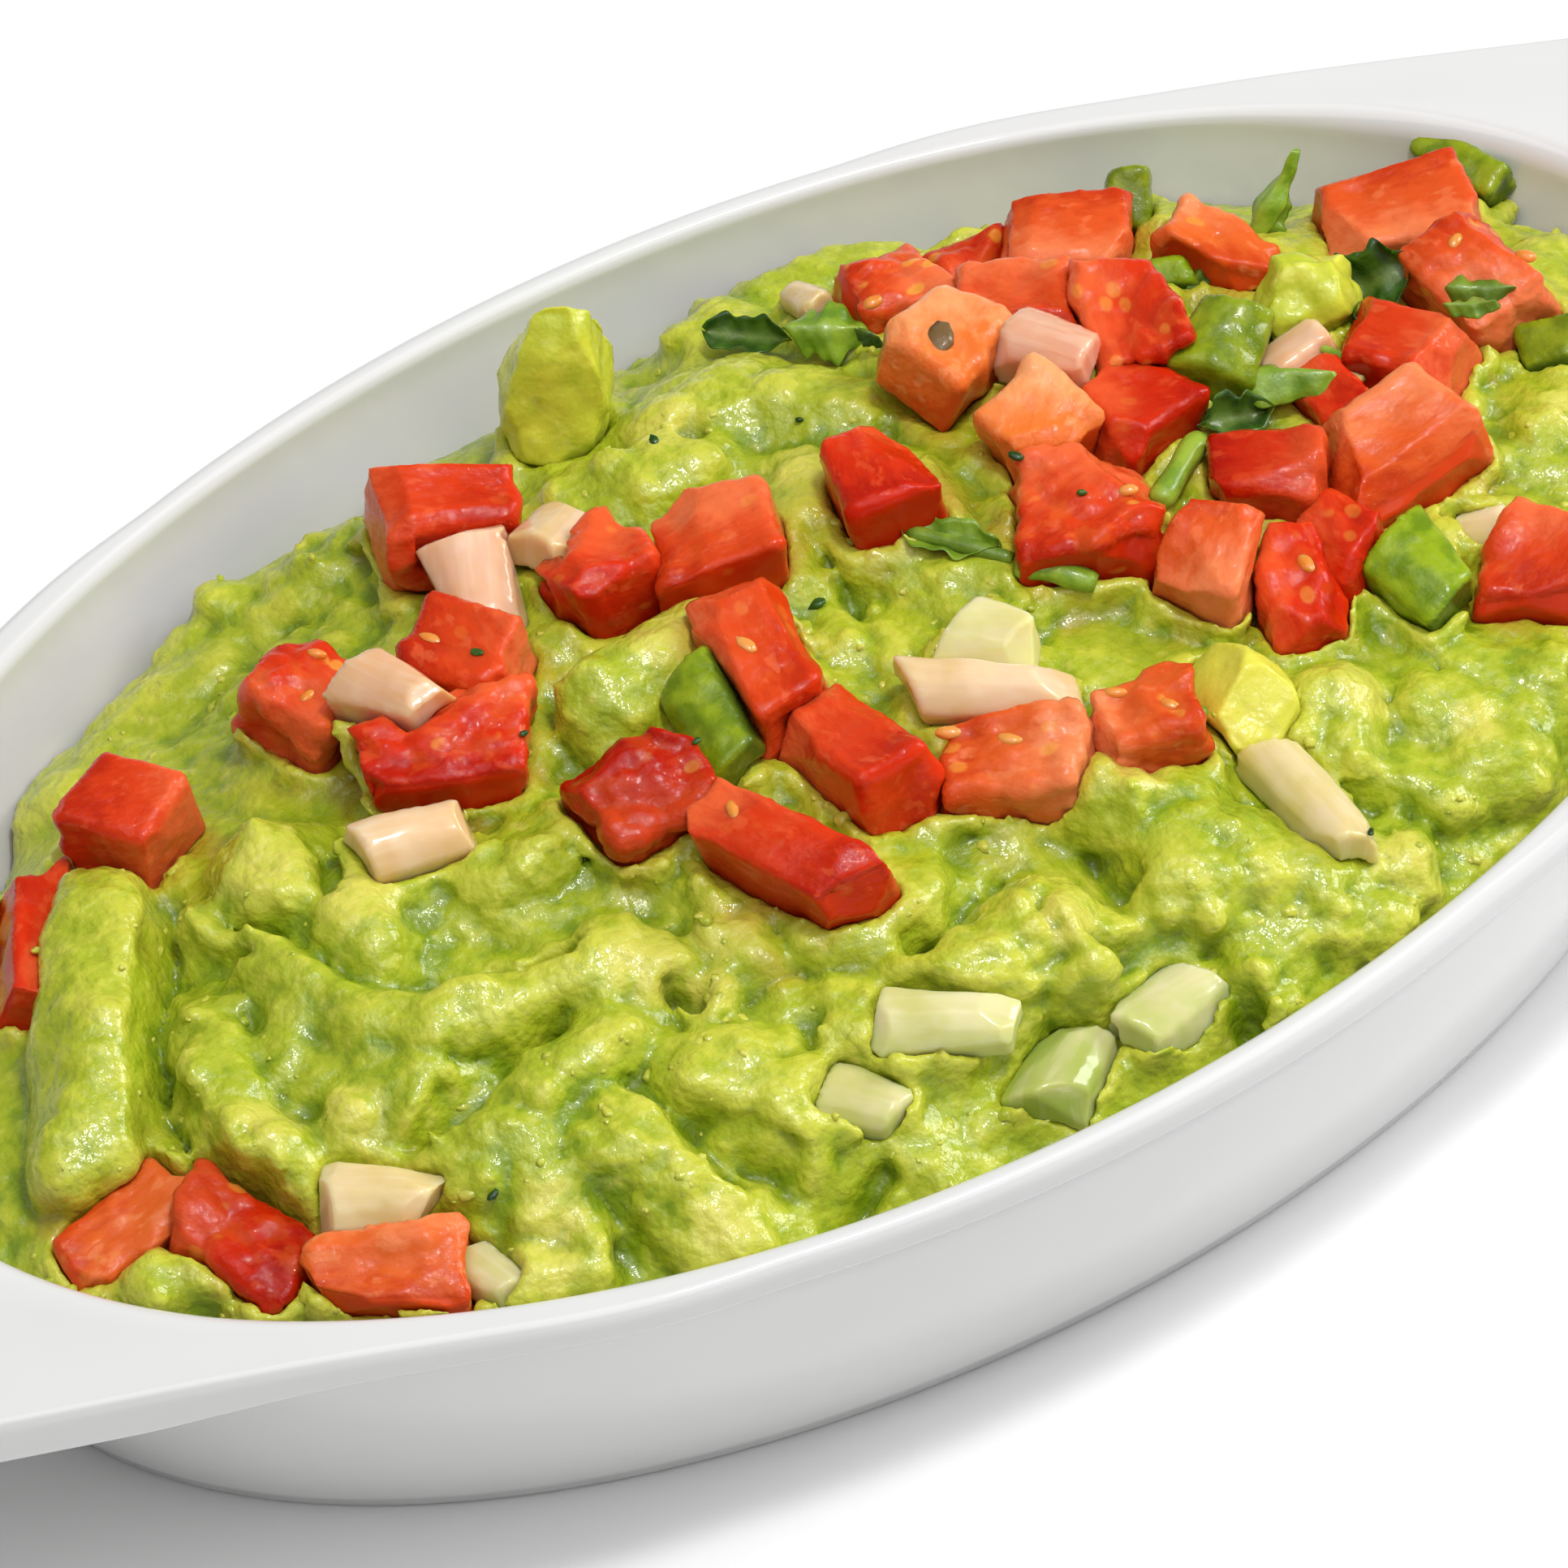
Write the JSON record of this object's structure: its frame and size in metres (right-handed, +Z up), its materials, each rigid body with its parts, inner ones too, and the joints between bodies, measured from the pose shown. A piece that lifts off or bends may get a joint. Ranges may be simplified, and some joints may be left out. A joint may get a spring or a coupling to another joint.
{
  "type": "guacamole dip in an oval eared dish",
  "caption": "Chunky guacamole heaped in a white oval porcelain dish with two flat ears, topped with diced tomato, onion, green pepper and chopped cilantro.",
  "frame": {"origin": "middle of the underside of the dish's foot, at the height of the surface it stands on", "axes": "+Z up, +X along the dish from ear to ear, -Y towards the side that faces the viewer"},
  "size_m": [0.206, 0.093, 0.0397],
  "materials": {
    "porcelain": "gloss",
    "guacamole": "satin",
    "tomato": "gloss",
    "onion": "gloss",
    "pepper": "gloss",
    "avocado": "satin"
  },
  "bodies": {
    "root": {"dish": "porcelain", "guacamole": "guacamole", "tomato_01": "tomato", "tomato_02": "tomato", "tomato_03": "tomato", "tomato_04": "tomato", "tomato_05": "tomato", "tomato_06": "tomato", "tomato_07": "tomato", "tomato_08": "tomato", "tomato_09": "tomato", "tomato_10": "tomato", "tomato_11": "tomato", "tomato_12": "tomato", "tomato_13": "tomato", "tomato_14": "tomato", "tomato_15": "tomato", "tomato_16": "tomato", "tomato_17": "tomato", "tomato_18": "tomato", "tomato_19": "tomato", "tomato_20": "tomato", "tomato_21": "tomato", "tomato_22": "tomato", "tomato_23": "tomato", "tomato_24": "tomato", "tomato_25": "tomato", "tomato_26": "tomato", "tomato_27": "tomato", "tomato_28": "tomato", "tomato_29": "tomato", "tomato_30": "tomato", "tomato_31": "tomato", "tomato_32": "tomato", "tomato_33": "tomato", "tomato_34": "tomato", "tomato_35": "tomato", "tomato_36": "tomato", "tomato_37": "tomato", "onion_01": "onion", "onion_02": "onion", "onion_03": "onion", "onion_04": "onion", "onion_05": "onion", "onion_06": "onion", "onion_07": "onion", "onion_08": "onion", "onion_09": "onion", "onion_10": "onion", "onion_11": "onion", "onion_12": "onion", "onion_13": "onion", "pepper_01": "pepper", "pepper_02": "pepper", "pepper_03": "pepper", "avocado_01": "avocado", "avocado_02": "avocado", "avocado_03": "avocado"}
  },
  "joints": []
}
